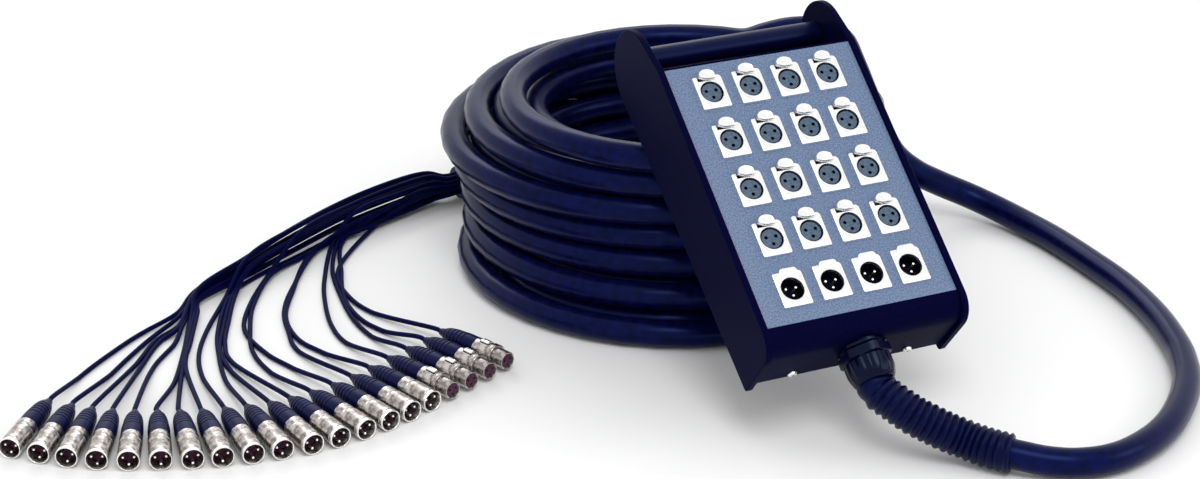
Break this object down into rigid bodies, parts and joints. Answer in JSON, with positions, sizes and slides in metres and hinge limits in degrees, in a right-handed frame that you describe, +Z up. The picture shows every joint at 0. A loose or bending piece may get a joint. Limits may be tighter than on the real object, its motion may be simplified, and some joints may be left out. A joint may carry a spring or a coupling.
{
  "type": "stage box multicore snake",
  "caption": "Steel stage box of three-pin panel jacks on a coiled multicore cable, with a fan-out of thin tails and three-pin plugs.",
  "frame": {"origin": "on the floor, under the centre of the stage box and its strain relief hose", "axes": "+X along the box's width to the right as seen from the panel, -Y the side the panel faces, +Z up"},
  "size_m": [1.046, 0.7674, 0.2874],
  "materials": {
    "case_paint": "satin",
    "panel_paint": "satin",
    "nickel_plate": "polished",
    "cable_jacket": "satin",
    "black_plastic": "matte"
  },
  "bodies": {
    "snake": {"left_cheek": "case_paint", "right_cheek": "case_paint", "case_shell": "case_paint", "handle_tube": "case_paint", "connector_panel": "panel_paint", "inner_harness": "cable_jacket", "gland_locknut": "black_plastic", "gland_body": "black_plastic", "gland_dome_nut": "black_plastic", "bottom_screw_left": "nickel_plate", "bottom_screw_right": "nickel_plate", "strain_relief_hose": "cable_jacket", "cable_loop": "cable_jacket", "cable_coil": "cable_jacket", "coil_core": "cable_jacket", "fan_breakout_boot": "black_plastic", "fan_tails": "cable_jacket", "male_plug_01": "nickel_plate", "male_plug_02": "nickel_plate", "male_plug_03": "nickel_plate", "male_plug_04": "nickel_plate", "male_plug_05": "nickel_plate", "male_plug_06": "nickel_plate", "male_plug_07": "nickel_plate", "male_plug_08": "nickel_plate", "male_plug_09": "nickel_plate", "male_plug_10": "nickel_plate", "male_plug_11": "nickel_plate", "male_plug_12": "nickel_plate", "male_plug_13": "nickel_plate", "male_plug_14": "nickel_plate", "male_plug_15": "nickel_plate", "male_plug_16": "nickel_plate", "female_plug_1": "nickel_plate", "female_plug_2": "nickel_plate", "female_plug_3": "nickel_plate", "female_plug_4": "nickel_plate"},
    "input_latch_01": {"input_latch_01": "nickel_plate"},
    "input_latch_02": {"input_latch_02": "nickel_plate"},
    "input_latch_03": {"input_latch_03": "nickel_plate"},
    "input_latch_04": {"input_latch_04": "nickel_plate"},
    "input_latch_05": {"input_latch_05": "nickel_plate"},
    "input_latch_06": {"input_latch_06": "nickel_plate"},
    "input_latch_07": {"input_latch_07": "nickel_plate"},
    "input_latch_08": {"input_latch_08": "nickel_plate"},
    "input_latch_09": {"input_latch_09": "nickel_plate"},
    "input_latch_10": {"input_latch_10": "nickel_plate"},
    "input_latch_11": {"input_latch_11": "nickel_plate"},
    "input_latch_12": {"input_latch_12": "nickel_plate"},
    "input_latch_13": {"input_latch_13": "nickel_plate"},
    "input_latch_14": {"input_latch_14": "nickel_plate"},
    "input_latch_15": {"input_latch_15": "nickel_plate"},
    "input_latch_16": {"input_latch_16": "nickel_plate"},
    "plug_latch_1": {"plug_latch_1": "nickel_plate"},
    "plug_latch_2": {"plug_latch_2": "nickel_plate"},
    "plug_latch_3": {"plug_latch_3": "nickel_plate"},
    "plug_latch_4": {"plug_latch_4": "nickel_plate"}
  },
  "joints": [
    {"name": "input_latch_01_press", "type": "slide", "parent": "snake", "child": "input_latch_01", "axis": [0, 0.6225, -0.7826], "range_m": [0, 0.002], "stiffness_N_per_m": 800},
    {"name": "input_latch_02_press", "type": "slide", "parent": "snake", "child": "input_latch_02", "axis": [0, 0.6225, -0.7826], "range_m": [0, 0.002], "stiffness_N_per_m": 800},
    {"name": "input_latch_03_press", "type": "slide", "parent": "snake", "child": "input_latch_03", "axis": [0, 0.6225, -0.7826], "range_m": [0, 0.002], "stiffness_N_per_m": 800},
    {"name": "input_latch_04_press", "type": "slide", "parent": "snake", "child": "input_latch_04", "axis": [0, 0.6225, -0.7826], "range_m": [0, 0.002], "stiffness_N_per_m": 800},
    {"name": "input_latch_05_press", "type": "slide", "parent": "snake", "child": "input_latch_05", "axis": [0, 0.6225, -0.7826], "range_m": [0, 0.002], "stiffness_N_per_m": 800},
    {"name": "input_latch_06_press", "type": "slide", "parent": "snake", "child": "input_latch_06", "axis": [0, 0.6225, -0.7826], "range_m": [0, 0.002], "stiffness_N_per_m": 800},
    {"name": "input_latch_07_press", "type": "slide", "parent": "snake", "child": "input_latch_07", "axis": [0, 0.6225, -0.7826], "range_m": [0, 0.002], "stiffness_N_per_m": 800},
    {"name": "input_latch_08_press", "type": "slide", "parent": "snake", "child": "input_latch_08", "axis": [0, 0.6225, -0.7826], "range_m": [0, 0.002], "stiffness_N_per_m": 800},
    {"name": "input_latch_09_press", "type": "slide", "parent": "snake", "child": "input_latch_09", "axis": [0, 0.6225, -0.7826], "range_m": [0, 0.002], "stiffness_N_per_m": 800},
    {"name": "input_latch_10_press", "type": "slide", "parent": "snake", "child": "input_latch_10", "axis": [0, 0.6225, -0.7826], "range_m": [0, 0.002], "stiffness_N_per_m": 800},
    {"name": "input_latch_11_press", "type": "slide", "parent": "snake", "child": "input_latch_11", "axis": [0, 0.6225, -0.7826], "range_m": [0, 0.002], "stiffness_N_per_m": 800},
    {"name": "input_latch_12_press", "type": "slide", "parent": "snake", "child": "input_latch_12", "axis": [0, 0.6225, -0.7826], "range_m": [0, 0.002], "stiffness_N_per_m": 800},
    {"name": "input_latch_13_press", "type": "slide", "parent": "snake", "child": "input_latch_13", "axis": [0, 0.6225, -0.7826], "range_m": [0, 0.002], "stiffness_N_per_m": 800},
    {"name": "input_latch_14_press", "type": "slide", "parent": "snake", "child": "input_latch_14", "axis": [0, 0.6225, -0.7826], "range_m": [0, 0.002], "stiffness_N_per_m": 800},
    {"name": "input_latch_15_press", "type": "slide", "parent": "snake", "child": "input_latch_15", "axis": [0, 0.6225, -0.7826], "range_m": [0, 0.002], "stiffness_N_per_m": 800},
    {"name": "input_latch_16_press", "type": "slide", "parent": "snake", "child": "input_latch_16", "axis": [0, 0.6225, -0.7826], "range_m": [0, 0.002], "stiffness_N_per_m": 800},
    {"name": "plug_latch_1_press", "type": "slide", "parent": "snake", "child": "plug_latch_1", "axis": [0, 0, -1], "range_m": [0, 0.001], "stiffness_N_per_m": 800},
    {"name": "plug_latch_2_press", "type": "slide", "parent": "snake", "child": "plug_latch_2", "axis": [0, 0, -1], "range_m": [0, 0.001], "stiffness_N_per_m": 800},
    {"name": "plug_latch_3_press", "type": "slide", "parent": "snake", "child": "plug_latch_3", "axis": [0, 0, -1], "range_m": [0, 0.001], "stiffness_N_per_m": 800},
    {"name": "plug_latch_4_press", "type": "slide", "parent": "snake", "child": "plug_latch_4", "axis": [0, 0, -1], "range_m": [0, 0.001], "stiffness_N_per_m": 800}
  ]
}
